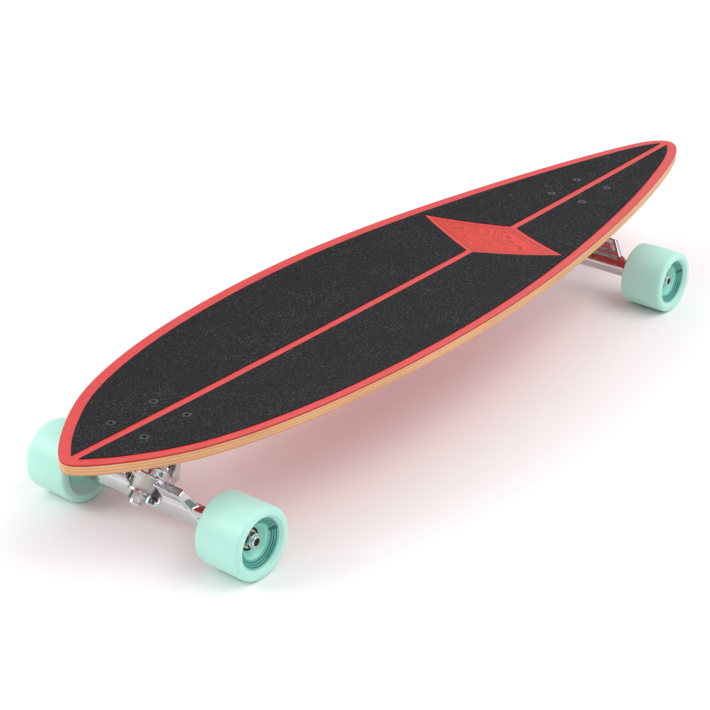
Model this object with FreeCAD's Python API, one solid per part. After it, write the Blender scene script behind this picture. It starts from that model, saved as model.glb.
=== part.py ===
"""Pintail longboard skateboard: concave laminated deck, two reverse-kingpin trucks and four 70 mm wheels.

Millimetres. +X points to the nose, +Y to the rider's left, +Z up. The origin is on the floor, under the
middle of the deck. Each truck is modelled about the middle of its own axle, with +x outboard, and is then
turned and carried to its place, so front and rear are the same parts.
"""
import FreeCAD, Part
import math
import os

V = FreeCAD.Vector
Y_AXIS = V(0, 1, 0)
Z_AXIS = V(0, 0, 1)

# ---- driving dimensions ----
DECK_LENGTH = 1020.0
DECK_THICKNESS = 10.5
PLY_COUNT = 7
WHEELBASE = 711.5            # between the two bolt patterns
WHEELBASE_MIDDLE = 51.0      # how far forward of the deck's middle the wheelbase is centred
CONCAVE_RADIUS = 780.0       # across the deck
SAG = 2.4                    # the deck's dip between the trucks

BORDER = 11.0                # bare veneer round the grip tape
STRIPE_WIDTH = 9.0           # bare centre stripe
GRIP_THICKNESS = 0.8
DIAMOND_X = -127.0
DIAMOND_HALF_LENGTH = 44.0
DIAMOND_HALF_WIDTH = 93.0

WHEEL_RADIUS = 35.0
WHEEL_WIDTH = 51.0
WHEEL_OUTER_FACE = 133.0     # from the middle of the axle
TRUCK_HEIGHT = 68.5          # axle to deck underside
STEER_ANGLE = 44.0           # steering axis above the deck plane

BOLT_SPACING_X = 53.98
BOLT_SPACING_Y = 41.28
OLD_BOLT_SPACING_X = 63.5    # the baseplate's third pair of holes
BOLT_RADIUS = 2.4
BOLT_LENGTH = 28.6
BOLT_HEAD_RADIUS = 4.7
BOLT_HEAD_DEPTH = 2.8
BOLT_SOCKET_FLATS = 3.2
BOLT_SOCKET_DEPTH = 2.0

AXLE_RADIUS = 3.97
AXLE_HALF_LENGTH = 122.4
HANGER_HALF_WIDTH = 92.0
KINGPIN_RADIUS = 4.76

# lock nuts: across flats, height of the hexagon, height of the collar
BOLT_NUT = (9.5, 3.6, 1.6)
AXLE_NUT = (12.7, 5.0, 2.4)
KINGPIN_NUT = (14.3, 8.0, 3.5)

SCREW_CLEARANCE = 0.15       # round the screws in the deck
FREE_CLEARANCE = 0.05        # on the radius of a part that slides on a pin or axle
THREAD_CLEARANCE = 0.02

# ---- worked out from them ----
DECK_TOP = WHEEL_RADIUS + TRUCK_HEIGHT + DECK_THICKNESS
PLY = DECK_THICKNESS / PLY_COUNT
TIP = DECK_LENGTH / 2
HALF_WHEELBASE = WHEELBASE / 2
FRONT_X = WHEELBASE_MIDDLE + HALF_WHEELBASE
REAR_X = WHEELBASE_MIDDLE - HALF_WHEELBASE
STEER = V(math.cos(math.radians(STEER_ANGLE)), 0, math.sin(math.radians(STEER_ANGLE)))
KING = V(STEER.z, 0, -STEER.x)

# Half-widths of the deck from tail to nose: a pin tail, the widest point ahead of the middle, a round nose.
OUTLINE = [
    (-TIP + 8, 14), (-TIP + 34, 29), (-429, 45), (-349, 66.5), (-229, 92), (-109, 111.5), (11, 123.5),
    (111, 126), (211, 121.5), (291, 112), (371, 94), (422, 74.5), (462, 50),
    (TIP - 22, 29.5), (TIP - 7, 14.5),
]

WIDEST = max(width for _, width in OUTLINE)

# ---- truck layout, in the truck's own frame ----
RING = V(1.5, 0, 26)         # where the kingpin crosses the steering axis
RING_RADIUS = 17.0
RING_HALF = 6.0
SEAT_DEPTH = 1.5
BUSHING_RADIUS = 12.0
BUSHING_TIP_RADIUS = 9.5
BUSHING_HEIGHT = 15.0
SEAT = RING_HALF - SEAT_DEPTH
WASHER_AT = SEAT + BUSHING_HEIGHT
WASHER_RADIUS = 12.8
WASHER_THICKNESS = 2.0
NUT_AT = WASHER_AT + WASHER_THICKNESS
KINGPIN_END = NUT_AT + KINGPIN_NUT[1] + KINGPIN_NUT[2] + 0.8
KINGPIN_HEAD_AT = -44.0
KINGPIN_HEAD = 6.0
PIVOT_RADIUS = 4.2
PIVOT_TIP = -28.5            # along the steering axis from the ring
PIVOT_CLEARANCE = 0.06
PIVOT_CUP_RADIUS = 5.7
CUP_MOUTH = -19.5
CUP_BOTTOM = -30.0
HOUSING_RADIUS = 7.2         # clear of the barrel, which passes 7.65 from the steering axis
HOUSING_MOUTH = -20.0
HOUSING_END = -32.0
BASE_THICKNESS = 6.0
BASE_HALF_LENGTH = 42.0
BASE_HALF_WIDTH = 28.0
BASE_BOTTOM = TRUCK_HEIGHT - BASE_THICKNESS
BARREL_RADIUS = 10.0
BARREL_END_RADIUS = 8.2
WING_LEAN = 25.0             # the wings lean outboard from upright
WING_HALF = 4.5
WING = V(math.sin(math.radians(WING_LEAN)), 0, math.cos(math.radians(WING_LEAN)))
WING_FACE = V(WING.z, 0, -WING.x)
SLOT_RADIUS = 14.2           # what the hanger leaves free round the washers and bushings
SLOT_SWING = 6.6

# ---- wheel and bearing layout, along the axle from its middle ----
BEARING_WIDTH = 7.0
BEARING_RADIUS = 11.0
SPACER = 10.0
SPEED_RING = 1.0
SPEED_RING_RADIUS = 5.5
BEARING_IN = HANGER_HALF_WIDTH + SPEED_RING
BEARING_OUT = BEARING_IN + BEARING_WIDTH + SPACER
AXLE_NUT_AT = BEARING_OUT + BEARING_WIDTH + SPEED_RING
CORE_RADIUS = 18.0
CORE_OUTER_DEPTH = 8.0       # below the outer face of the tyre
CORE_INNER_DEPTH = 10.0
BALL_RADIUS = 1.98
BALL_PITCH = 7.5
BALL_COUNT = 7
GROOVE_RADIUS = 2.04
INNER_RACE_RADIUS = 6.1
OUTER_RACE_BORE = 8.9


# ---- helpers ----
def save(name, *solids):
    shape = solids[0] if len(solids) == 1 else Part.makeCompound(list(solids))
    shape.exportStep(f"parts/{name}.step")
    print(name, len(shape.Solids), round(shape.Volume), shape.isValid())


def box(low, high):
    return Part.makeBox(high[0] - low[0], high[1] - low[1], high[2] - low[2], V(*low))


def prism(points, direction):
    """A solid swept from a closed polygon of points."""
    wire = Part.makePolygon([*points, points[0]])
    return Part.Face(wire).extrude(direction)


def lathe(profile):
    """Turn (radius, y) points about the Y axis."""
    wire = Part.makePolygon([V(r, y, 0) for r, y in [*profile, profile[0]]])
    return Part.Face(wire).revolve(V(0, 0, 0), Y_AXIS, 360)


def tube(outer, inner, start, length, direction=Y_AXIS, centre=V(0, 0, 0)):
    base = centre + direction * start
    bar = Part.makeCylinder(outer, length, base, direction)
    return bar.cut(Part.makeCylinder(inner, length, base, direction))


def rod(radius, start, end, direction, centre=V(0, 0, 0)):
    return Part.makeCylinder(radius, end - start, centre + direction * start, direction)


def hexagon(across_flats, start, end, direction, centre=V(0, 0, 0)):
    """A hexagonal bar with the corners of its far end turned off."""
    radius = across_flats / 2 / math.cos(math.pi / 6)
    height = end - start
    angles = [math.radians(60 * k) for k in range(6)]
    bar = prism([V(radius * math.cos(a), radius * math.sin(a), 0) for a in angles], V(0, 0, height))
    flat = across_flats / 2 * 0.97
    drop = (radius - flat) * 1.2
    turned = Part.makeCone(flat + 2 * drop, flat, drop, V(0, 0, height - drop))
    turned = turned.fuse(Part.makeCylinder(radius + 1, height - drop))
    bar = bar.common(turned)
    bar.Placement = FreeCAD.Placement(centre + direction * start, FreeCAD.Rotation(Z_AXIS, direction))
    return bar


def circle_edges(shape, centre=V(0, 0, 0), direction=None, at=None):
    """The round edges of a shape, or only those whose centres lie at a distance along direction."""
    rims = [e for e in shape.Edges if e.Curve.TypeId == "Part::GeomCircle"]
    if direction is None:
        return rims
    return [e for e in rims if abs((e.Curve.Center - centre).dot(direction) - at) < 0.01]


def lock_nut(size, bore, start, direction, centre=V(0, 0, 0)):
    """A hex nut with the round collar that holds its nylon ring."""
    across_flats, hex_height, collar_height = size
    shoulder = start + hex_height
    end = shoulder + collar_height
    nut = hexagon(across_flats, start, shoulder, direction, centre)
    collar = rod(across_flats * 0.45, shoulder - 0.5, end, direction, centre)
    collar = collar.makeFillet(collar_height / 2, circle_edges(collar, centre, direction, end))
    nut = nut.fuse(collar).removeSplitter()
    return nut.cut(rod(bore, start - 1, end + 1, direction, centre))


# ---- deck ----
def smooth_edge(points):
    """A curve through the points that leaves the first and reaches the last square to the X axis."""
    lengths = [0.0]
    for before, after in zip(points, points[1:]):
        lengths.append(lengths[-1] + before.distanceToPoint(after))
    curve = Part.BSplineCurve()
    ends = {"InitialTangent": Y_AXIS, "FinalTangent": -Y_AXIS, "Scale": False}
    curve.interpolate(Points=points, Parameters=lengths, **ends)
    return curve


def half_outline(inset=0.0):
    """The left edge of the deck from tail tip to nose tip, moved inwards by inset."""
    points = [V(-TIP, 0, 0), *[V(x, w, 0) for x, w in OUTLINE], V(TIP, 0, 0)]
    curve = smooth_edge(points)
    if inset:
        moved = []
        for point in points:
            tangent = curve.tangent(curve.parameter(point))[0]
            moved.append(point + V(tangent.y, -tangent.x, 0).normalize() * inset)
        curve = smooth_edge(moved)
    return curve.toShape()


def polygon(points):
    """A flat face at floor level from (x, y) corners."""
    corners = [V(x, y, 0) for x, y in points]
    return Part.Face(Part.makePolygon([*corners, corners[0]]))


def deck_plan(inset, depth):
    """The deck seen from above, moved inwards by inset, with the screw holes of a depth under the grip."""
    left = half_outline(inset)
    right = left.mirror(V(0, 0, 0), Y_AXIS)
    plan = Part.Face(Part.Wire([left, right]))
    taper = (BOLT_HEAD_RADIUS - BOLT_RADIUS) / BOLT_HEAD_DEPTH
    radius = max(BOLT_RADIUS, BOLT_HEAD_RADIUS - taper * depth) + SCREW_CLEARANCE
    for place in bolt_places():
        circle = Part.makeCircle(radius, V(place.x, place.y, 0))
        plan = plan.cut(Part.Face(Part.Wire(circle)))
    return plan


def deck_height(x, y):
    """Height of the deck's top surface: a dip along the board and a hollow across it."""
    dip = SAG * (((x - WHEELBASE_MIDDLE) / HALF_WHEELBASE) ** 2 - 1)
    return DECK_TOP + dip + y * y / (2 * CONCAVE_RADIUS)


def deck_sheet(height):
    """The deck's top surface as an exact quadratic patch, moved up by height."""
    margin = 10.0
    half_x = TIP + WHEELBASE_MIDDLE + margin
    half_y = WIDEST + margin
    rise_x = SAG * (half_x / HALF_WHEELBASE) ** 2
    rise_y = half_y ** 2 / (2 * CONCAVE_RADIUS)
    surface = Part.BezierSurface()
    surface.increase(2, 2)
    for i, (x, zx) in enumerate([(-half_x, rise_x), (0, -rise_x), (half_x, rise_x)], 1):
        for j, (y, zy) in enumerate([(-half_y, rise_y), (0, -rise_y), (half_y, rise_y)], 1):
            surface.setPole(i, j, V(x + WHEELBASE_MIDDLE, y, DECK_TOP - SAG + zx + zy + height))
    return surface.toShape()


def deck_layer(top, thickness, plan):
    """What lies over a plan, between two copies of the deck's surface."""
    slab = deck_sheet(top - thickness).extrude(V(0, 0, thickness))
    return slab.common(plan.extrude(V(0, 0, 2 * DECK_TOP)))


def bolt_places():
    for truck_x in (FRONT_X, REAR_X):
        for sx in (1, -1):
            for sy in (1, -1):
                x = truck_x + sx * BOLT_SPACING_X / 2
                y = sy * BOLT_SPACING_Y / 2
                yield V(x, y, deck_height(x, y) + GRIP_THICKNESS)


def bolt(place):
    """A countersunk machine screw hanging from its head."""
    down = V(0, 0, -1)
    head = Part.makeCone(BOLT_HEAD_RADIUS, BOLT_RADIUS, BOLT_HEAD_DEPTH, place, down)
    return rod(BOLT_RADIUS, 0, BOLT_LENGTH, down, place).fuse(head)


def make_bolts():
    screws = []
    for place in bolt_places():
        socket = hexagon(BOLT_SOCKET_FLATS, -0.5, BOLT_SOCKET_DEPTH, V(0, 0, -1), place)
        screws.append(bolt(place).cut(socket))
    save("mounting_bolts", *screws)


def make_bolt_nuts():
    bottom = WHEEL_RADIUS + BASE_BOTTOM
    nuts = []
    for place in bolt_places():
        under = V(place.x, place.y, bottom)
        nuts.append(lock_nut(BOLT_NUT, BOLT_RADIUS + FREE_CLEARANCE, 0, V(0, 0, -1), under))
    save("mounting_nuts", *nuts)


def make_deck():
    footprints = [placed(baseplate_slab(FREE_CLEARANCE), FRONT_X, False),
                  placed(baseplate_slab(FREE_CLEARANCE), REAR_X, True)]
    for index in range(PLY_COUNT):
        depth = GRIP_THICKNESS + index * PLY
        ply = deck_layer(-index * PLY, PLY, deck_plan(0.0, depth))
        if index == 0:
            name = "top_veneer"
        elif index == PLY_COUNT - 1:
            name = "bottom_veneer"
            ply = ply.cut(Part.makeCompound(footprints))
        else:
            name = f"maple_ply_{index + 1}"
        save(name, ply)


def make_grip():
    """Two halves of grip tape, with the centre stripe and the diamond left bare."""
    diamond = polygon([(DIAMOND_X + DIAMOND_HALF_LENGTH, 0), (DIAMOND_X, DIAMOND_HALF_WIDTH),
                       (DIAMOND_X - DIAMOND_HALF_LENGTH, 0), (DIAMOND_X, -DIAMOND_HALF_WIDTH)])
    plan = deck_plan(BORDER, 0.0).cut(diamond)
    for name, side in (("grip_tape_left", 1), ("grip_tape_right", -1)):
        near = side * STRIPE_WIDTH / 2
        far = side * WIDEST
        half = polygon([(-TIP, near), (TIP, near), (TIP, far), (-TIP, far)])
        save(name, deck_layer(GRIP_THICKNESS, GRIP_THICKNESS, plan.common(half)))


# ---- trucks ----
def placed(shape, x, turned):
    """Carry a truck part from its own frame to its place on the board."""
    shape = shape.copy()
    turn = FreeCAD.Rotation(Z_AXIS, 180 if turned else 0)
    shape.Placement = FreeCAD.Placement(V(x, 0, WHEEL_RADIUS), turn).multiply(shape.Placement)
    return shape


def along(s, t, y=0.0):
    """A point s along the steering axis and t along the kingpin from the ring's centre."""
    return RING + STEER * s + KING * t + V(0, y, 0)


def baseplate_slab(gap=0.0):
    corner = 8.0
    low = (-BASE_HALF_LENGTH - gap, -BASE_HALF_WIDTH - gap, BASE_BOTTOM)
    high = (BASE_HALF_LENGTH + gap, BASE_HALF_WIDTH + gap, TRUCK_HEIGHT)
    slab = box(low, high)
    upright = [e for e in slab.Edges if abs(e.tangentAt(e.FirstParameter).z) > 0.99]
    return slab.makeFillet(corner, upright)


def baseplate_arm():
    """The web that joins the plate, the kingpin's boss and the pivot housing."""
    half = 8.5
    top = BASE_BOTTOM + 2
    back = -31.0
    boss = -NUT_AT - 1
    outline = [V(8, -half, top), along(12, boss, -half), along(-14, boss, -half),
               along(HOUSING_MOUTH, -11, -half), along(HOUSING_MOUTH, -4, -half),
               along(HOUSING_END, -4, -half), along(HOUSING_END, -HOUSING_RADIUS, -half),
               V(back, -half, 34), V(back, -half, top)]
    return prism(outline, V(0, 2 * half, 0))


def baseplate():
    """Six-hole plate with the kingpin's boss and the arm that carries the pivot cup."""
    lower_edge = 1.5
    boss_radius = 14.0
    head_recess = 8.7
    slab = baseplate_slab()
    slab = slab.makeFillet(lower_edge, [e for e in slab.Edges if e.BoundBox.ZMax < BASE_BOTTOM + 0.01])
    boss = rod(boss_radius, KINGPIN_HEAD_AT - 14, -NUT_AT, KING, RING)
    housing = rod(HOUSING_RADIUS, HOUSING_END, HOUSING_MOUTH, STEER, RING)
    housing = housing.makeFillet(1.2, circle_edges(housing))
    low = (-BASE_HALF_LENGTH, -BASE_HALF_WIDTH, -60)
    high = (BASE_HALF_LENGTH, BASE_HALF_WIDTH, TRUCK_HEIGHT)
    plate = slab.fuse([boss.common(box(low, high)), baseplate_arm(), housing])
    plate = plate.cut(rod(KINGPIN_RADIUS + 2 * FREE_CLEARANCE, -80, 0, KING, RING))
    plate = plate.cut(rod(head_recess, -90, KINGPIN_HEAD_AT, KING, RING))
    plate = plate.cut(rod(PIVOT_CUP_RADIUS, CUP_BOTTOM, CUP_MOUTH + 5, STEER, RING))
    for spacing in (BOLT_SPACING_X, -BOLT_SPACING_X, OLD_BOLT_SPACING_X):
        for side in (1, -1):
            place = V(spacing / 2, side * BOLT_SPACING_Y / 2, BASE_BOTTOM - 1)
            hole = Part.makeCylinder(BOLT_RADIUS + 2 * SCREW_CLEARANCE, BASE_THICKNESS + 2, place)
            plate = plate.cut(hole)
    return plate.removeSplitter()


def pivot_cup():
    wall = rod(PIVOT_CUP_RADIUS, CUP_BOTTOM, CUP_MOUTH, STEER, RING)
    bottom = 0.5
    ball_at = PIVOT_TIP + PIVOT_RADIUS + PIVOT_CLEARANCE - bottom
    return wall.cut(pivot_nose(PIVOT_RADIUS + PIVOT_CLEARANCE, ball_at, CUP_MOUTH + 1))


def pivot_nose(radius, ball_at, end):
    """The round-ended pin that turns in the pivot cup."""
    pin = rod(radius, ball_at, end, STEER, RING)
    return pin.fuse(Part.makeSphere(radius, along(ball_at, 0)))


def kingpin():
    shaft = rod(KINGPIN_RADIUS, KINGPIN_HEAD_AT - 1, KINGPIN_END, KING, RING)
    shaft = shaft.makeChamfer(0.8, circle_edges(shaft, RING, KING, KINGPIN_END))
    head = hexagon(KINGPIN_NUT[0], -KINGPIN_HEAD_AT, -KINGPIN_HEAD_AT + KINGPIN_HEAD, -KING, RING)
    return shaft.fuse(head).removeSplitter()


def kingpin_nut():
    return lock_nut(KINGPIN_NUT, KINGPIN_RADIUS + THREAD_CLEARANCE, NUT_AT, KING, RING)


def bushing(start, end, start_radius, end_radius):
    """A urethane bushing, a barrel or a cone, with its end edges rounded."""
    if start_radius == end_radius:
        body = rod(start_radius, start, end, KING, RING)
    else:
        body = Part.makeCone(start_radius, end_radius, end - start, RING + KING * start, KING)
    body = body.makeFillet(1.0, circle_edges(body))
    return body.cut(rod(KINGPIN_RADIUS + FREE_CLEARANCE, start - 1, end + 1, KING, RING))


def washer(start):
    return tube(WASHER_RADIUS, KINGPIN_RADIUS + FREE_CLEARANCE, start, WASHER_THICKNESS, KING, RING)


def stadium(start, end):
    """A slot along the kingpin, wide enough for the hanger to swing past what is on the kingpin."""
    low = min(start, end)
    height = abs(end - start)
    ends = [rod(SLOT_RADIUS, low, low + height, KING, RING + V(0, y, 0)) for y in (SLOT_SWING, -SLOT_SWING)]
    corners = [along(s, low, y) for s, y in
               ((SLOT_RADIUS, SLOT_SWING), (-SLOT_RADIUS, SLOT_SWING),
                (-SLOT_RADIUS, -SLOT_SWING), (SLOT_RADIUS, -SLOT_SWING))]
    return ends[0].fuse([ends[1], prism(corners, KING * height)])


def on_wing(y, height, out=0.0):
    """A point of the leaning wings: height up the wing from the axle, and out from its middle plane."""
    return WING * height + WING_FACE * out + V(0, y, 0)


def barrel():
    """The round housing of the axle, a little smaller at its ends."""
    end = HANGER_HALF_WIDTH
    edge = 1.5
    full = 60.0
    half = [(BARREL_RADIUS, full), (BARREL_END_RADIUS + 0.8, end - edge),
            (BARREL_END_RADIUS, end), (0, end)]
    return lathe([(r, -y) for r, y in reversed(half)] + half)


def wings():
    """Leaning webs either side of the ring, each with a pocket in its front and in its back."""
    depth = 2.0
    pocket_outline = [(22, 15), (50, 15), (43, 25.5), (22, 27)]
    right = [(14, 31), (47, 29), (59, 11), (70, 8), (70, -6)]
    outline = [(-y, h) for y, h in reversed(right)] + right
    web = prism([on_wing(y, h, -WING_HALF) for y, h in outline], WING_FACE * (2 * WING_HALF))
    for side in (1, -1):
        for face in (1, -1):
            mouth = [on_wing(side * y, h, face * WING_HALF) for y, h in pocket_outline]
            web = web.cut(prism(mouth, WING_FACE * (-face * depth)))
    return web


def axle_block():
    """The flat-faced block round the barrel, with the edge that runs along its front under the wings."""
    length = 70.0
    section = [(8.5, -4.5), (10.6, 2), (10.6, 9.2), (9.6, 11.2), (7.8, 11.6),
               (-4, 11), (-9.2, 4), (-8.5, -4.5)]
    block = prism([V(x, -length, z) for x, z in section], V(0, 2 * length, 0))
    waist = 52.0
    half = [(16.0, waist), (BARREL_RADIUS - 0.6, length), (0, length)]
    return block.common(lathe([(r, -y) for r, y in reversed(half)] + half))


def ring_block():
    """The ring between the bushings and the gusset that joins it to the axle block."""
    half = 11.0
    ring = rod(RING_RADIUS, -RING_HALF, RING_HALF, KING, RING)
    ring = ring.makeFillet(1.5, circle_edges(ring))
    face = RING_HALF - 1
    back = -16.0
    outline = [V(8.5, -half, -4), along(9, face, -half), along(9, -face, -half),
               along(back, -face, -half), along(back, face, -half), V(-8.5, -half, -4)]
    return ring.fuse(prism(outline, V(0, 2 * half, 0)))


def hanger():
    """Ring and pivot on the steering axis, wings to either side and the barrel round the axle."""
    throat = 7.8
    seat_radius = BUSHING_RADIUS + 0.4
    neck = Part.makeCone(9.0, PIVOT_RADIUS + 0.5, 6.5, along(-12, 0), -STEER)
    nose = pivot_nose(PIVOT_RADIUS, PIVOT_TIP + PIVOT_RADIUS, -15)
    body = barrel().fuse([wings(), axle_block(), ring_block(), neck, nose])
    body = body.cut(rod(throat, -20, 20, KING, RING))
    body = body.cut(rod(seat_radius, SEAT, RING_HALF + 2, KING, RING))
    body = body.cut(rod(seat_radius, -RING_HALF - 2, -SEAT, KING, RING))
    body = body.cut(stadium(RING_HALF, 45))
    body = body.cut(stadium(-45, -RING_HALF))
    return body.cut(rod(AXLE_RADIUS, -200, 200, Y_AXIS)).removeSplitter()


def axle():
    shaft = rod(AXLE_RADIUS, -AXLE_HALF_LENGTH, AXLE_HALF_LENGTH, Y_AXIS)
    return shaft.makeChamfer(0.7, circle_edges(shaft))


def axle_nuts():
    bore = AXLE_RADIUS + THREAD_CLEARANCE
    return [lock_nut(AXLE_NUT, bore, AXLE_NUT_AT, Y_AXIS * side) for side in (1, -1)]


def both_sides(start, length, outer):
    """The same ring on the left and right ends of the axle."""
    return [tube(outer, AXLE_RADIUS + FREE_CLEARANCE, start, length, Y_AXIS * side) for side in (1, -1)]


def groove(middle):
    """The ball track of a bearing, as a torus to cut from a race."""
    return Part.makeTorus(BALL_PITCH, GROOVE_RADIUS, V(0, middle, 0), Y_AXIS)


def inner_races():
    races = []
    for start in (BEARING_IN, BEARING_OUT):
        middle = start + BEARING_WIDTH / 2
        left, right = both_sides(start, BEARING_WIDTH, INNER_RACE_RADIUS)
        races += [left.cut(groove(middle)), right.cut(groove(-middle))]
    return races


def make_truck(name, x, turned):
    pieces = {
        "baseplate": [baseplate()],
        "pivot_cup": [pivot_cup()],
        "kingpin": [kingpin()],
        "kingpin_nut": [kingpin_nut()],
        "boardside_bushing": [bushing(-WASHER_AT, -SEAT, BUSHING_RADIUS, BUSHING_RADIUS)],
        "roadside_bushing": [bushing(SEAT, WASHER_AT, BUSHING_RADIUS, BUSHING_TIP_RADIUS)],
        "boardside_washer": [washer(-NUT_AT)],
        "roadside_washer": [washer(WASHER_AT)],
        "hanger": [hanger()],
        "axle": [axle()],
        "axle_nuts": axle_nuts(),
        "speed_rings": both_sides(HANGER_HALF_WIDTH, SPEED_RING, SPEED_RING_RADIUS)
        + both_sides(AXLE_NUT_AT - SPEED_RING, SPEED_RING, SPEED_RING_RADIUS),
        "bearing_spacers": both_sides(BEARING_IN + BEARING_WIDTH, SPACER, SPEED_RING_RADIUS),
        "bearing_inner_races": inner_races(),
    }
    for piece, solids in pieces.items():
        save(f"{name}_{piece}", *[placed(solid, x, turned) for solid in solids])


# ---- wheels, modelled about the axle with the outer face at +y ----
def tyre():
    """The poured urethane: a flat tread, round lips and a dished face round the core on each side."""
    out = WHEEL_OUTER_FACE
    inn = WHEEL_OUTER_FACE - WHEEL_WIDTH
    lip = 5.0
    face = 28.2
    outer_dish = [(face, out), (26.4, out - 1.2), (25.2, out - 3.2), (CORE_RADIUS, out - CORE_OUTER_DEPTH)]
    inner_dish = [(CORE_RADIUS, inn + CORE_INNER_DEPTH), (24.0, inn + 4.5), (26.4, inn + 1.4), (face, inn)]
    profile = [(WHEEL_RADIUS, inn + lip), (WHEEL_RADIUS, out - lip)]
    profile += lip_arc(out - lip, lip, 1)
    profile += outer_dish + inner_dish
    profile += reversed(lip_arc(inn + lip, lip, -1))
    return lathe(profile)


def lip_arc(y, radius, side):
    """Points round a quarter circle from the tread to the face."""
    steps = 6
    turns = [math.pi / 2 * k / steps for k in range(1, steps + 1)]
    return [(WHEEL_RADIUS - radius + radius * math.cos(a), y + side * radius * math.sin(a)) for a in turns]


def core():
    """The hard hub with a seat for each bearing and a rib between them."""
    out = WHEEL_OUTER_FACE - CORE_OUTER_DEPTH
    inn = WHEEL_OUTER_FACE - WHEEL_WIDTH + CORE_INNER_DEPTH
    seat_end = BEARING_OUT + BEARING_WIDTH
    bowl = 12.6
    mouth = BEARING_RADIUS + 0.6
    rib = 9.4
    return lathe([(CORE_RADIUS, inn), (CORE_RADIUS, out), (15.8, out - 2.2), (bowl, seat_end + 1.2),
                  (mouth, seat_end + 0.5), (BEARING_RADIUS, seat_end - 0.1), (BEARING_RADIUS, BEARING_OUT),
                  (rib, BEARING_OUT), (rib, BEARING_OUT - SPACER), (BEARING_RADIUS, BEARING_OUT - SPACER),
                  (BEARING_RADIUS, BEARING_IN + 0.1), (mouth, BEARING_IN - 0.5), (bowl, inn)])


def outer_race(start):
    race = tube(BEARING_RADIUS, OUTER_RACE_BORE, start, BEARING_WIDTH)
    return race.cut(groove(start + BEARING_WIDTH / 2))


def shields(start):
    """The two thin rings that close a bearing."""
    thickness = 0.4
    inset = 0.25
    at = (start + inset, start + BEARING_WIDTH - inset - thickness)
    gap = 0.3
    return [tube(OUTER_RACE_BORE, INNER_RACE_RADIUS + gap, y, thickness) for y in at]


def balls(start):
    middle = start + BEARING_WIDTH / 2
    turns = [2 * math.pi * k / BALL_COUNT for k in range(BALL_COUNT)]
    centres = [V(BALL_PITCH * math.cos(a), middle, BALL_PITCH * math.sin(a)) for a in turns]
    return [Part.makeSphere(BALL_RADIUS, centre) for centre in centres]


def make_wheel(name, x, left):
    bearings = (BEARING_IN, BEARING_OUT)
    pieces = {
        "wheel_tyre": [tyre()],
        "wheel_core": [core()],
        "bearing_outer_races": [outer_race(start) for start in bearings],
        "bearing_shields": [ring for start in bearings for ring in shields(start)],
        "bearing_balls": [ball for start in bearings for ball in balls(start)],
    }
    for piece, solids in pieces.items():
        save(f"{name}_{piece}", *[placed(solid, x, not left) for solid in solids])


os.makedirs("parts", exist_ok=True)
make_deck()
make_grip()
make_bolts()
make_bolt_nuts()
for end, end_x, is_rear in (("front", FRONT_X, False), ("rear", REAR_X, True)):
    make_truck(end, end_x, is_rear)
    for side_name, is_left in (("left", True), ("right", False)):
        make_wheel(f"{end}_{side_name}", end_x, is_left)
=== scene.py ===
"""Looks of the pintail longboard: materials, the shaped pieces that stand for CAD nodes, studio and camera.

Metres, in the same frame as the CAD: +X to the nose, +Y to the rider's left, +Z up, the floor at z = 0.
"""
import bmesh
import bpy
import math
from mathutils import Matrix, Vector


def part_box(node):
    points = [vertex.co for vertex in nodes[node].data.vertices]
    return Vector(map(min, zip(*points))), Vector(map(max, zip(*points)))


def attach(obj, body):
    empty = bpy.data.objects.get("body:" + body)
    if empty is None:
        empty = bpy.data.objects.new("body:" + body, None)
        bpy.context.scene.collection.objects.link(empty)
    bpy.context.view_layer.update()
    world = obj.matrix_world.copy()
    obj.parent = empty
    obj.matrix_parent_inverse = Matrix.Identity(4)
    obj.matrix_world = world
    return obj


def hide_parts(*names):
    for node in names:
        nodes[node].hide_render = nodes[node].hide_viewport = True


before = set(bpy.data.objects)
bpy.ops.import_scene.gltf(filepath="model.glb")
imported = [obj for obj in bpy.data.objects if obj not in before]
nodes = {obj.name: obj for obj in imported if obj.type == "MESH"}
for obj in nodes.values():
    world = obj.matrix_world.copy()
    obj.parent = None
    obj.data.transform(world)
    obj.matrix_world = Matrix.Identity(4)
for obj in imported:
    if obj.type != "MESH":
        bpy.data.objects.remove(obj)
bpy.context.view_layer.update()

MM = 0.001
WHEELS = [f"{end}_{side}" for end in ("front", "rear") for side in ("left", "right")]

# The bare diamond in the grip tape, in metres.
DIAMOND_X = -0.127
DIAMOND_HALF_LENGTH = 0.044
DIAMOND_HALF_WIDTH = 0.093

# The tyre's and the core's profile, in millimetres from the axle and from the wheel's middle plane.
TYRE_RADIUS = 34.99     # a hair inside the CAD's 35, so that the tyre stays within its box
WHEEL_HALF_WIDTH = 25.5
DISH_FACE = WHEEL_HALF_WIDTH - 8.0
CORE_BACK = 10.0 - WHEEL_HALF_WIDTH
CORE_RADIUS = 18.0
CORE_RIM_RADIUS = 15.8
SEAT_LIP_RADIUS = 12.6
SEAT_RADIUS = 11.0      # the bearings sit in this bore
SHOULDER_RADIUS = 9.4   # and stop against this one

# The print on the wheel's outer face: radii in millimetres, middles and half spreads in degrees.
PRINT_RINGS = (17.0, 18.9, 20.8, 22.7, 24.6)
PRINT_LINE_HALF_WIDTH = 0.50
PRINT_MARGIN = 0.5
PRINT_BLOCK = (164, 6)
PRINT_TICKS = (-138, 22)
TICKS_AT = 21.6
TICK_HALF_LENGTH = 1.7
TICKS_PER_RADIAN = 26.0

# Where the camera stands and looks, in metres, and its lens, in millimetres.
CAMERA_AT = (1.4202, 1.0440, 0.8969)
CAMERA_FACING = (-0.6996, -0.5586, -0.4456)
LENS = 93.4
SENSOR_WIDTH = 36.0

FLOOR_HALF_WIDTH = 12.0
FLOOR_WHITE = 0.93


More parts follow.
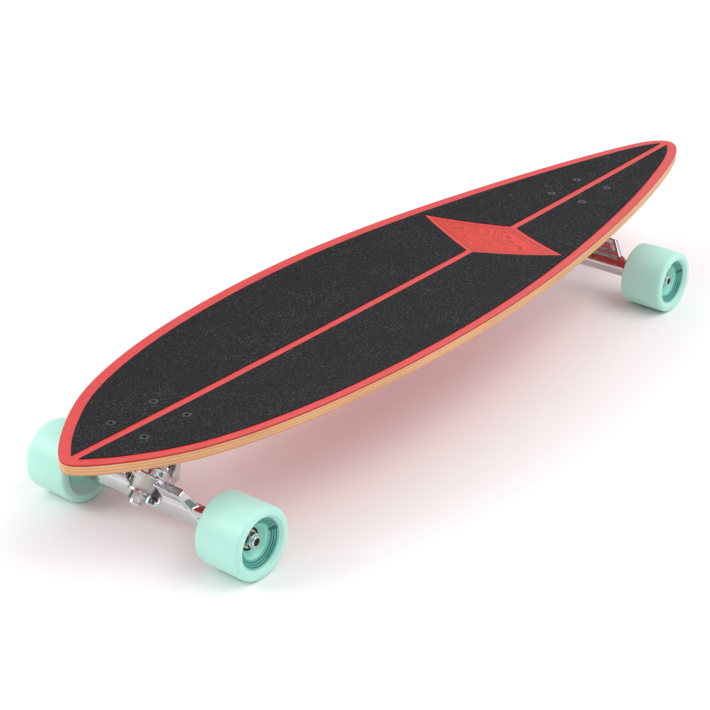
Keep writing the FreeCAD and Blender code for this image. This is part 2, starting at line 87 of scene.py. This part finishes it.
# ---- node helpers ----
def node(tree, kind, inputs=None, **settings):
    """Add a shader node; an input is a value or another node's output."""
    made = tree.nodes.new(kind)
    for name, value in settings.items():
        setattr(made, name, value)
    for key, value in (inputs or {}).items():
        if isinstance(value, bpy.types.NodeSocket):
            tree.links.new(value, made.inputs[key])
        else:
            made.inputs[key].default_value = value
    return made


def maths(tree, operation, *values):
    """One step of arithmetic on values or node outputs."""
    made = node(tree, "ShaderNodeMath", dict(enumerate(values)), operation=operation)
    return made.outputs[0]


def ramp(tree, factor, *stops):
    """A colour ramp; each stop is (position, colour)."""
    made = node(tree, "ShaderNodeValToRGB", {"Fac": factor})
    elements = made.color_ramp.elements
    while len(elements) < len(stops):
        elements.new(0.5)
    for element, (position, colour) in zip(elements, stops):
        element.position = position
        element.color = (*colour, 1)
    return made.outputs["Color"]


def remap(tree, value, low, high, to_low=0.0, to_high=1.0):
    """Carry low..high over to to_low..to_high, held at both ends."""
    made = node(tree, "ShaderNodeMapRange", {0: value, 1: low, 2: high, 3: to_low, 4: to_high})
    return made.outputs[0]


def blend(tree, factor, first, second, how="MIX"):
    """Mix two colours by a factor, or combine them in the way named."""
    made = node(tree, "ShaderNodeMix", {0: factor, 6: first, 7: second}, data_type="RGBA", blend_type=how)
    return made.outputs[2]


def place(tree, stretch=(1, 1, 1)):
    """Object coordinates, stretched: a small factor makes a long grain."""
    coords = node(tree, "ShaderNodeTexCoord").outputs["Object"]
    return node(tree, "ShaderNodeMapping", {"Vector": coords, "Scale": stretch}).outputs[0]


def noise(tree, coords, scale, detail=3.0, roughness=0.5, distortion=0.0):
    """A cloudy pattern between 0 and 1."""
    made = node(tree, "ShaderNodeTexNoise", {"Vector": coords, "Scale": scale, "Detail": detail,
                                             "Roughness": roughness, "Distortion": distortion})
    return made.outputs["Fac"]


def bump(tree, height, distance, strength=1.0, normal=None):
    """A normal tilted by a height pattern, on top of another normal if one is given."""
    inputs = {"Height": height, "Distance": distance, "Strength": strength}
    if normal is not None:
        inputs["Normal"] = normal
    return node(tree, "ShaderNodeBump", inputs).outputs[0]


def grey(tree, value):
    """A grey to multiply a colour with."""
    return node(tree, "ShaderNodeCombineColor", {0: value, 1: value, 2: value}).outputs[0]


def soft_edges(tree, radius):
    """A normal that rounds the sharp edges of a face, for the shader and the bumps on it."""
    return node(tree, "ShaderNodeBevel", {"Radius": radius}, samples=4).outputs[0]


def line_mask(tree, value, middle, half_width):
    """1 where value is within half_width of middle, with a slightly soft edge."""
    distance = maths(tree, "ABSOLUTE", maths(tree, "SUBTRACT", value, middle))
    return remap(tree, distance, half_width, half_width * 0.6)


def new_material(name, **constants):
    """A node material with its shader's constant sockets set; keys use _ for spaces."""
    material = bpy.data.materials.new(name)
    material.use_nodes = True
    tree = material.node_tree
    shader = tree.nodes["Principled BSDF"]
    for key, value in constants.items():
        shader.inputs[key.replace("_", " ")].default_value = value
    return material, tree, shader


def feed(tree, shader, **sockets):
    """Link node outputs to the shader; keys use _ for spaces."""
    for key, value in sockets.items():
        tree.links.new(value, shader.inputs[key.replace("_", " ")])


# ---- materials ----
def diamond_motif(tree):
    """Two masks of the bare diamond: its double outline with ripples inside, and its whole field."""
    outline_at = ((0.84, 0.036), (0.73, 0.030))
    ripples_end = 0.67
    field_end = 0.93
    coords = node(tree, "ShaderNodeTexCoord").outputs["Object"]
    x, y, _ = node(tree, "ShaderNodeSeparateXYZ", {0: coords}).outputs
    from_middle = maths(tree, "ABSOLUTE", maths(tree, "SUBTRACT", x, DIAMOND_X))
    across = maths(tree, "DIVIDE", from_middle, DIAMOND_HALF_LENGTH)
    sideways = maths(tree, "DIVIDE", maths(tree, "ABSOLUTE", y), DIAMOND_HALF_WIDTH)
    reach = maths(tree, "ADD", across, sideways)
    outline = maths(tree, "ADD", *[line_mask(tree, reach, *line) for line in outline_at])
    field = noise(tree, place(tree, (34, 13, 1)), 1.0, detail=1.5, roughness=0.4, distortion=0.8)
    waves = maths(tree, "PINGPONG", maths(tree, "MULTIPLY", field, 9.0), 0.5)
    inside = remap(tree, reach, ripples_end, ripples_end - 0.03)
    ripples = maths(tree, "MULTIPLY", line_mask(tree, waves, 0.25, 0.11), inside)
    lines = maths(tree, "MINIMUM", maths(tree, "ADD", outline, ripples), 1.0)
    return lines, remap(tree, reach, field_end, field_end - 0.03)


def red_veneer(name, cut_side_colour_and_shade):
    """Red-stained veneer with its grain under a satin lacquer, and another colour where it is cut."""
    material, tree, shader = new_material(name, Coat_Weight=0.08, Coat_Roughness=0.25,
                                          Specular_IOR_Level=0.28)
    streaks = noise(tree, place(tree, (3, 60, 60)), 9.0, detail=6.0, roughness=0.65, distortion=0.6)
    pores = noise(tree, place(tree, (14, 420, 420)), 3.0, detail=4.0, roughness=0.7)
    colour = ramp(tree, streaks, (0.25, (0.55, 0.036, 0.036)), (0.55, (0.64, 0.048, 0.046)),
                  (0.8, (0.70, 0.068, 0.062)))
    colour = blend(tree, 1.0, colour, grey(tree, remap(tree, pores, 0.30, 0.44, 0.82, 1.0)), "MULTIPLY")
    lines, inside = diamond_motif(tree)
    warmer = blend(tree, 1.0, colour, (1.05, 0.55, 0.20, 1), "MULTIPLY")
    colour = blend(tree, inside, colour, warmer)
    colour = blend(tree, maths(tree, "MULTIPLY", lines, 0.9), colour, (0.34, 0.012, 0.005, 1))
    normal = node(tree, "ShaderNodeTexCoord").outputs["Normal"]
    facing = node(tree, "ShaderNodeSeparateXYZ", {0: normal}).outputs[2]
    flat = remap(tree, maths(tree, "ABSOLUTE", facing), 0.4, 0.8)
    # On the top veneer the cut edge is a darker red: partly a deeper stain in the end grain, partly painted
    # shade on the edge.
    colour = blend(tree, flat, (*cut_side_colour_and_shade, 1), colour)
    under = remap(tree, facing, -0.8, -0.4)
    colour = blend(tree, under, (0.56, 0.060, 0.054, 1), colour)
    feed(tree, shader, Base_Color=colour, Roughness=remap(tree, pores, 0.3, 0.7, 0.50, 0.38),
         Normal=bump(tree, pores, 0.05 * MM, 0.5, soft_edges(tree, 0.7 * MM)))
    return material


def maple(name, pale, middle, deep):
    """The edge of a maple ply: fine lines along the board, broken by darker pores."""
    material, tree, shader = new_material(name, Coat_Weight=0.12, Coat_Roughness=0.4)
    lines = noise(tree, place(tree, (5, 5, 900)), 1.0, detail=5.0, roughness=0.6, distortion=0.3)
    blotches = noise(tree, place(tree, (12, 12, 60)), 1.0)
    pores = noise(tree, place(tree, (60, 60, 1500)), 1.5, detail=4.0, roughness=0.7)
    mixed = maths(tree, "ADD", maths(tree, "MULTIPLY", lines, 0.55), maths(tree, "MULTIPLY", blotches, 0.45))
    colour = ramp(tree, mixed, (0.34, deep), (0.52, middle), (0.68, pale))
    colour = blend(tree, 1.0, colour, grey(tree, remap(tree, pores, 0.30, 0.42, 0.78, 1.0)), "MULTIPLY")
    feed(tree, shader, Base_Color=colour, Roughness=remap(tree, pores, 0.3, 0.7, 0.62, 0.48),
         Normal=bump(tree, lines, 0.08 * MM, 0.6))
    return material


def grip_tape():
    """Black silicon-carbide grit: dark grains, a few of them painted lighter as painted glints and made
    smoother.
    """
    material, tree, shader = new_material("grip_tape", Specular_IOR_Level=0.22)
    coords = place(tree)
    grains = node(tree, "ShaderNodeTexVoronoi", {"Vector": coords, "Scale": 1500.0}, feature="F1")
    coarse = noise(tree, coords, 700.0, roughness=0.7)
    patches = noise(tree, coords, 30.0, roughness=0.6)
    base = ramp(tree, coarse, (0.30, (0.004, 0.004, 0.005)), (0.55, (0.012, 0.012, 0.013)),
                (0.78, (0.036, 0.036, 0.038)))
    first = node(tree, "ShaderNodeSeparateColor", {0: grains.outputs["Color"]}).outputs[0]
    painted_glint = maths(tree, "MULTIPLY", remap(tree, first, 0.88, 1.0), remap(tree, patches, 0.35, 0.65, 0.4, 1.0))
    # Painted highlight: the glinting grains are given a lighter grey colour.
    colour = blend(tree, painted_glint, base, (0.10, 0.10, 0.105, 1))
    height = maths(tree, "ADD", maths(tree, "MULTIPLY", grains.outputs["Distance"], -0.7), coarse)
    feed(tree, shader, Base_Color=colour, Roughness=remap(tree, painted_glint, 0.0, 1.0, 0.9, 0.4),
         Normal=bump(tree, height, 0.3 * MM, 0.7))
    return material


def metal(name, colour, roughness, grain=(1, 1, 1), grain_scale=300.0, wear=0.06, waviness=0.0,
          edge=0.4 * MM):
    """Bare metal: tool marks along a grain, faint smears, and waviness on a cast and polished face."""
    material, tree, shader = new_material(name, Metallic=1.0)
    marks = noise(tree, place(tree, grain), grain_scale, detail=5.0, roughness=0.7)
    smears = noise(tree, place(tree), 35.0, detail=4.0, roughness=0.6, distortion=1.0)
    dim = tuple(c * (1 - 2.2 * wear) for c in colour)
    shade = ramp(tree, smears, (0.30, dim), (0.62, colour))
    rough = maths(tree, "ADD", remap(tree, marks, 0.35, 0.7, roughness * 0.7, roughness * 1.5),
                  remap(tree, smears, 0.45, 0.75, 0.0, wear))
    normal = bump(tree, marks, 0.02 * MM, 0.6, soft_edges(tree, edge))
    if waviness:
        waves = noise(tree, place(tree), 60.0, detail=2.0, roughness=0.4)
        normal = bump(tree, waves, waviness, normal=normal)
    feed(tree, shader, Base_Color=shade, Roughness=rough, Normal=normal)
    return material


def dark_steel(name, colour, roughness):
    """Near-black steel with brighter rubbed spots: blackened steel on the screws, painted shade on the outer
    races.
    """
    material, tree, shader = new_material(name, Metallic=0.85)
    rub = noise(tree, place(tree), 420.0, detail=5.0, roughness=0.7)
    rubbed = tuple(min(1, c * 2.4) for c in colour)
    shade = ramp(tree, rub, (0.45, colour), (0.72, rubbed))
    feed(tree, shader, Base_Color=shade, Roughness=remap(tree, rub, 0.3, 0.8, roughness, roughness * 0.65),
         Normal=bump(tree, rub, 0.03 * MM, 0.5, soft_edges(tree, 0.3 * MM)))
    return material


def urethane(name, colour, deep, softness, roughness, printed=False):
    """Poured urethane: a soft depth of colour, faint clouding and a fine satin skin."""
    material, tree, shader = new_material(name, Subsurface_Weight=softness,
                                          Subsurface_Radius=(0.5, 1.0, 0.85), Subsurface_Scale=3 * MM,
                                          Coat_Weight=0.10, Coat_Roughness=0.35)
    clouds = noise(tree, place(tree), 22.0, detail=4.0, roughness=0.55)
    skin = noise(tree, place(tree), 1400.0, roughness=0.6)
    shade = ramp(tree, clouds, (0.25, deep), (0.7, colour))
    if printed:
        shade = wheel_print(tree, shade)
    rough = remap(tree, skin, 0.3, 0.7, roughness * 0.85, roughness * 1.15)
    feed(tree, shader, Base_Color=shade, Roughness=rough, Normal=bump(tree, skin, 0.02 * MM, 0.6))
    return material


def sector(tree, angle, middle, half):
    """1 within half degrees of a direction, measured the short way round, with a slightly soft edge."""
    soft = 0.8
    turn = maths(tree, "WRAP", maths(tree, "SUBTRACT", angle, math.radians(middle)), math.pi, -math.pi)
    return remap(tree, maths(tree, "ABSOLUTE", turn), math.radians(half), math.radians(half - soft))


def wheel_print(tree, base_colour):
    """Dark ink on a tinted band of the outer face: rings, a solid block and a sector of short ticks.

    The wheel's own frame: the axle is Y and the outer face is at +Y.
    """
    coords = node(tree, "ShaderNodeTexCoord").outputs["Object"]
    x, y, z = node(tree, "ShaderNodeSeparateXYZ", {0: coords}).outputs
    squares = maths(tree, "ADD", maths(tree, "MULTIPLY", x, x), maths(tree, "MULTIPLY", z, z))
    radius = maths(tree, "SQRT", squares)
    angle = maths(tree, "ARCTAN2", z, x)
    worn = noise(tree, coords, 900.0, detail=4.0, roughness=0.7)

    rings = [line_mask(tree, radius, ring * MM, PRINT_LINE_HALF_WIDTH * MM) for ring in PRINT_RINGS]
    dark = rings[0]
    for ring in rings[1:]:
        dark = maths(tree, "MAXIMUM", dark, ring)
    teeth = maths(tree, "PINGPONG", maths(tree, "MULTIPLY", angle, TICKS_PER_RADIAN), 0.5)
    ticks = maths(tree, "MULTIPLY", line_mask(tree, teeth, 0.25, 0.13),
                  line_mask(tree, radius, TICKS_AT * MM, TICK_HALF_LENGTH * MM))
    ticks = maths(tree, "MULTIPLY", ticks, sector(tree, angle, *PRINT_TICKS))
    dark = maths(tree, "MAXIMUM", maths(tree, "MAXIMUM", dark, ticks), sector(tree, angle, *PRINT_BLOCK))

    middle = (PRINT_RINGS[0] + PRINT_RINGS[-1]) / 2
    half_width = PRINT_RINGS[-1] - middle + PRINT_MARGIN
    band = line_mask(tree, radius, middle * MM, half_width * MM)
    outer_face = remap(tree, y, 10 * MM, 11 * MM)
    rubbed = remap(tree, worn, 0.25, 0.4, 0.85, 1.0)
    ink = maths(tree, "MULTIPLY", maths(tree, "MULTIPLY", band, outer_face), rubbed)
    tinted = blend(tree, maths(tree, "MULTIPLY", ink, 0.85), base_colour, (0.010, 0.33, 0.27, 1))
    return blend(tree, maths(tree, "MULTIPLY", ink, dark), tinted, (0.001, 0.090, 0.080, 1))


# Only the top veneer is red all through, with a darker red on its cut edge, partly a deeper stain in the end
# grain and partly painted shade: the lowest one's edge is the colour of maple.
RED = red_veneer("red_veneer", (0.40, 0.024, 0.016))
RED_BELOW = red_veneer("red_veneer_below", (0.60, 0.30, 0.13))
LIGHT_MAPLE = maple("light_maple", (0.82, 0.46, 0.23), (0.76, 0.40, 0.19), (0.62, 0.30, 0.13))
DARK_MAPLE = maple("dark_maple", (0.71, 0.38, 0.17), (0.64, 0.325, 0.14), (0.52, 0.24, 0.10))
GRIP = grip_tape()
POLISHED = metal("polished_alloy", (0.64, 0.64, 0.65), 0.06, wear=0.03, waviness=0.4 * MM, edge=0.8 * MM)
ZINC = metal("zinc_steel", (0.66, 0.68, 0.70), 0.17, grain_scale=500.0)
# The axle is near black: painted shade for its end, deep in the nut's bore.
AXLE_PAINTED_SHADE = metal("axle_painted_shade", (0.07, 0.07, 0.075), 0.32, grain=(1, 0.15, 1), grain_scale=900.0)
BEARING_STEEL = metal("bearing_steel", (0.60, 0.60, 0.62), 0.14, grain=(1, 0.1, 1), grain_scale=700.0)
SHIELD = metal("bearing_shield", (0.62, 0.53, 0.38), 0.24, grain_scale=800.0)
SCREW_STEEL = dark_steel("screw_steel", (0.036, 0.035, 0.034), 0.40)
# The outer races are near black: painted shade for the dark ring round each bearing.
RACE_PAINTED_SHADE = dark_steel("race_painted_shade", (0.016, 0.016, 0.018), 0.30)
BUSHING = urethane("bushing_urethane", (0.80, 0.80, 0.77), (0.70, 0.70, 0.67), 0.3, 0.30)
TYRE = urethane("mint_urethane", (0.490, 0.820, 0.725), (0.415, 0.780, 0.670), 0.20, 0.40, printed=True)
# The core is a deeper mint than the tyre: painted shade for the hollow of the wheel's bowl.
CORE_PAINTED_SHADE = urethane("core_plastic", (0.33, 0.76, 0.64), (0.27, 0.72, 0.59), 0.15, 0.34, printed=True)

# A word in a node's name, and the material that it brings; the first word found counts.
NODE_MATERIALS = [
    ("top_veneer", RED), ("bottom_veneer", RED_BELOW), ("maple_ply_2", LIGHT_MAPLE),
    ("maple_ply_3", DARK_MAPLE), ("maple_ply_4", LIGHT_MAPLE), ("maple_ply_5", DARK_MAPLE),
    ("maple_ply_6", LIGHT_MAPLE), ("grip_tape", GRIP), ("mounting_bolts", SCREW_STEEL),
    ("baseplate", POLISHED), ("hanger", POLISHED), ("pivot_cup", BUSHING), ("bushing", BUSHING),
    ("kingpin", ZINC), ("washer", ZINC), ("nuts", ZINC), ("speed_rings", ZINC), ("spacers", ZINC),
    ("axle", AXLE_PAINTED_SHADE), ("inner_races", BEARING_STEEL), ("balls", BEARING_STEEL),
    ("outer_races", RACE_PAINTED_SHADE), ("shields", SHIELD), ("wheel_tyre", TYRE), ("wheel_core", CORE_PAINTED_SHADE),
]


def dress(name, made):
    """Give a CAD node the material of the first word in the list that its name holds."""
    material = next(m for key, m in NODE_MATERIALS if key in name)
    for material_slot in made.material_slots:
        material_slot.material = material


for node_name, node_object in nodes.items():
    dress(node_name, node_object)


# ---- pieces that stand for CAD nodes ----
def rounded(corners, steps=8):
    """A closed profile: each corner (r, y, reach) is eased over a reach along both of its sides."""
    points = []
    for index, (r, y, reach) in enumerate(corners):
        corner = Vector((r, y))
        before = Vector(corners[index - 1][:2]) - corner
        after = Vector(corners[(index + 1) % len(corners)][:2]) - corner
        start = corner + before.normalized() * reach
        end = corner + after.normalized() * reach
        for step in range(steps + 1):
            t = step / steps
            points.append(start * (1 - t) ** 2 + corner * 2 * t * (1 - t) + end * t ** 2)
    return points


def turned_mesh(name, corners, segments=120):
    """A smooth ring turned about Y from a closed profile in millimetres."""
    profile = rounded(corners)
    count = len(profile)
    angles = [2 * math.pi * k / segments for k in range(segments)]
    places = [(p.x * MM * math.cos(a), p.y * MM, p.x * MM * math.sin(a)) for a in angles for p in profile]
    faces = []
    for k in range(segments):
        here = k * count
        there = (k + 1) % segments * count
        for i in range(count):
            j = (i + 1) % count
            faces.append((here + i, here + j, there + j, there + i))
    mesh = bpy.data.meshes.new(name)
    mesh.from_pydata(places, [], faces)
    mesh.polygons.foreach_set("use_smooth", [True] * len(faces))
    bm = bmesh.new()
    bm.from_mesh(mesh)
    bmesh.ops.recalc_face_normals(bm, faces=bm.faces)
    bm.to_mesh(mesh)
    bm.free()
    return mesh


def stand_in(name, mesh, material, node_name):
    """A new object that is shown instead of a CAD node."""
    made = bpy.data.objects.new(name, mesh)
    mesh.materials.clear()
    mesh.materials.append(material)
    bpy.context.collection.objects.link(made)
    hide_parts(node_name)
    return made


def tyre_profile():
    """The tyre from its tread over the outer lip, down the dish and back along the core."""
    half = WHEEL_HALF_WIDTH
    tread_edge = 4.6
    lip = 27.6
    dish_edge = 25.3
    return [
        (TYRE_RADIUS, -half, tread_edge), (TYRE_RADIUS, half, tread_edge), (lip, half, 1.3),
        (dish_edge, half - 3.0, 1.3), (CORE_RADIUS, DISH_FACE, 0.3), (CORE_RADIUS, CORE_BACK, 0.3),
        (24.0, 4.5 - half, 1.5), (27.0, -half, 1.2),
    ]


def core_profile():
    """The core from the tyre's bore over its face into the two bearing seats and the shoulder between."""
    outer_seat = (2.5, 9.4)
    inner_seat = (-14.4, -7.5)
    bevel = 0.6
    crisp = 0.2
    return [
        (CORE_RADIUS, CORE_BACK, crisp), (CORE_RADIUS, DISH_FACE, crisp),
        (CORE_RIM_RADIUS, DISH_FACE - 2.2, 2.0), (SEAT_LIP_RADIUS, outer_seat[1] + 1.3, 0.9),
        (SEAT_RADIUS + bevel, outer_seat[1] + bevel, crisp), (SEAT_RADIUS, outer_seat[1], crisp),
        (SEAT_RADIUS, outer_seat[0], crisp), (SHOULDER_RADIUS, outer_seat[0], crisp),
        (SHOULDER_RADIUS, inner_seat[1], crisp), (SEAT_RADIUS, inner_seat[1], crisp),
        (SEAT_RADIUS, inner_seat[0], crisp), (SEAT_RADIUS + bevel, inner_seat[0] - bevel, crisp),
        (SEAT_LIP_RADIUS, CORE_BACK, 0.3),
    ]


def wheel_pieces():
    """Each wheel's tyre and core, turned smoothly to the CAD's own profile, with the print outward."""
    parts = (
        ("tyre", turned_mesh("tyre", tyre_profile()), TYRE, "mint_urethane"),
        ("core", turned_mesh("core", core_profile()), CORE_PAINTED_SHADE, "core_plastic"),
    )
    for wheel in WHEELS:
        low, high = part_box(wheel + "_wheel_tyre")
        for part, mesh, material, slot in parts:
            made = stand_in(f"{wheel}_{part}", mesh, material, f"{wheel}_wheel_{part}")
            made.location = (low + high) / 2
            if "right" in wheel:
                made.rotation_euler.z = math.pi
            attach(made, wheel + "_wheel")


def cast_piece(node_name, body, voxel=0.8 * MM, rounds=9):
    """A copy of a CAD node with the soft edges and fillets of a polished casting."""
    mesh = nodes[node_name].data.copy()
    made = stand_in(node_name + "_cast", mesh, POLISHED, node_name)
    remesh = made.modifiers.new("remesh", "REMESH")
    remesh.mode = "VOXEL"
    remesh.voxel_size = voxel
    remesh.use_smooth_shade = True
    smooth = made.modifiers.new("smooth", "SMOOTH")
    smooth.factor = 0.5
    smooth.iterations = rounds
    bpy.context.view_layer.update()
    cast = bpy.data.meshes.new_from_object(made.evaluated_get(bpy.context.evaluated_depsgraph_get()))
    made.modifiers.clear()
    made.data = cast
    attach(made, body)


wheel_pieces()
for end in ("front", "rear"):
    cast_piece(end + "_hanger", end + "_hanger")
    cast_piece(end + "_baseplate", "deck")


# ---- studio ----
def area_light(name, position, target, size, power):
    """A white rectangular lamp turned towards a target."""
    lamp = bpy.data.lights.new(name, "AREA")
    lamp.shape = "RECTANGLE"
    lamp.size, lamp.size_y = size
    lamp.energy = power
    made = bpy.data.objects.new(name, lamp)
    made.location = position
    made.rotation_euler = (Vector(target) - Vector(position)).to_track_quat("-Z", "Y").to_euler()
    bpy.context.collection.objects.link(made)


def floor():
    """A plain sheet of pale paper."""
    half = FLOOR_HALF_WIDTH
    corners = [(-half, -half, 0), (half, -half, 0), (half, half, 0), (-half, half, 0)]
    mesh = bpy.data.meshes.new("floor")
    mesh.from_pydata(corners, [], [(0, 1, 2, 3)])
    made = bpy.data.objects.new("floor", mesh)
    bpy.context.collection.objects.link(made)
    white = (FLOOR_WHITE, FLOOR_WHITE, FLOOR_WHITE, 1)
    paper = new_material("floor_paper", Base_Color=white, Roughness=0.9, Specular_IOR_Level=0.1)[0]
    mesh.materials.append(paper)


def sky():
    """A white surround, dimmer at the horizon, with a dark card low on one side for the metal to mirror."""
    card_towards = (0.78, 0.62)
    card_height = (0.34, 0.24)
    world = bpy.data.worlds.new("studio")
    bpy.context.scene.world = world
    world.use_nodes = True
    tree = world.node_tree
    direction = node(tree, "ShaderNodeTexCoord").outputs["Generated"]
    x, y, up = node(tree, "ShaderNodeSeparateXYZ", {0: direction}).outputs
    white = ramp(tree, up, (0.0, (0.62, 0.62, 0.63)), (0.18, (0.94, 0.94, 0.95)),
                 (0.45, (1.02, 1.02, 1.03)), (0.80, (0.87, 0.87, 0.87)))
    ahead = maths(tree, "ADD", maths(tree, "MULTIPLY", x, card_towards[0]),
                  maths(tree, "MULTIPLY", y, card_towards[1]))
    card = maths(tree, "MULTIPLY", remap(tree, ahead, 0.66, 0.84), line_mask(tree, up, *card_height))
    dimmed = blend(tree, maths(tree, "MULTIPLY", card, 0.85), white, (0.10, 0.10, 0.105, 1))
    tree.links.new(dimmed, tree.nodes["Background"].inputs["Color"])


def camera():
    """The viewing point and lens, solved from the truck bolts and the wheels."""
    lens = bpy.data.cameras.new("camera")
    lens.lens = LENS
    lens.sensor_width = SENSOR_WIDTH
    made = bpy.data.objects.new("camera", lens)
    made.location = CAMERA_AT
    made.rotation_euler = Vector(CAMERA_FACING).to_track_quat("-Z", "Y").to_euler()
    bpy.context.collection.objects.link(made)
    bpy.context.scene.camera = made


floor()
sky()
area_light("key_light", (-0.6, 1.4, 2.2), (0.0, 0.0, 0.1), (2.2, 1.6), 24.0)
area_light("fill_light", (1.8, -1.6, 1.6), (0.2, 0.0, 0.1), (1.6, 1.2), 26.0)
bpy.context.scene.view_settings.view_transform = "Standard"
camera()
